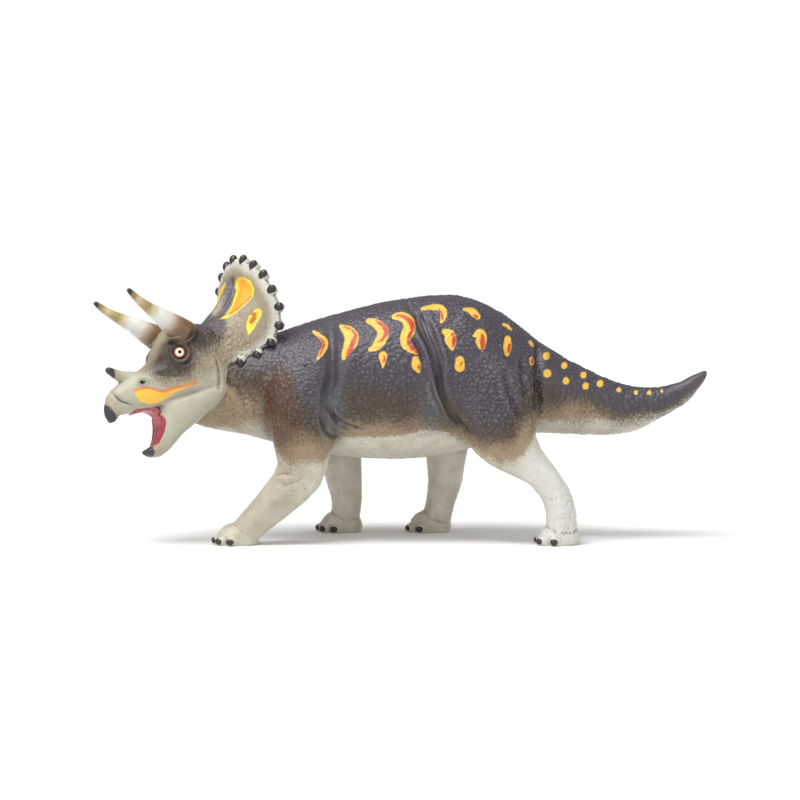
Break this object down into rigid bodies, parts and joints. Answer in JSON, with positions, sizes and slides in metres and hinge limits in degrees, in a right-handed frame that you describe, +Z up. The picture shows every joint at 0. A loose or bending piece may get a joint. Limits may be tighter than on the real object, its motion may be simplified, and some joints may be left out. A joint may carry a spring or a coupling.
{
  "type": "toy dinosaur figure",
  "caption": "Moulded vinyl horned dinosaur for play, standing on walking legs with its frilled head turned aside, beak open and tail raised at the tip",
  "frame": {"origin": "middle of the figure's box in X and Y, on the floor that the soles stand on", "axes": "+Z up; the figure faces -X and its tail points to +X; -Y is the figure's own left side, towards which its head is turned"},
  "size_m": [0.2208, 0.0606, 0.1009],
  "materials": {
    "body_vinyl": "satin hand-painted vinyl",
    "tail_vinyl": "satin hand-painted vinyl",
    "leg_vinyl": "satin hand-painted vinyl",
    "head_vinyl": "satin hand-painted vinyl",
    "jaw_vinyl": "satin hand-painted vinyl",
    "mouth_vinyl": "satin hand-painted vinyl",
    "horn_vinyl": "satin painted vinyl"
  },
  "bodies": {
    "root": {"trunk": "body_vinyl", "tail": "tail_vinyl", "front_leg_left": "leg_vinyl", "front_leg_right": "leg_vinyl", "hind_leg_left": "leg_vinyl", "hind_leg_right": "leg_vinyl", "head": "head_vinyl", "lower_jaw": "jaw_vinyl", "mouth_lining": "mouth_vinyl", "brow_horn_left": "horn_vinyl", "brow_horn_right": "horn_vinyl"}
  },
  "joints": []
}
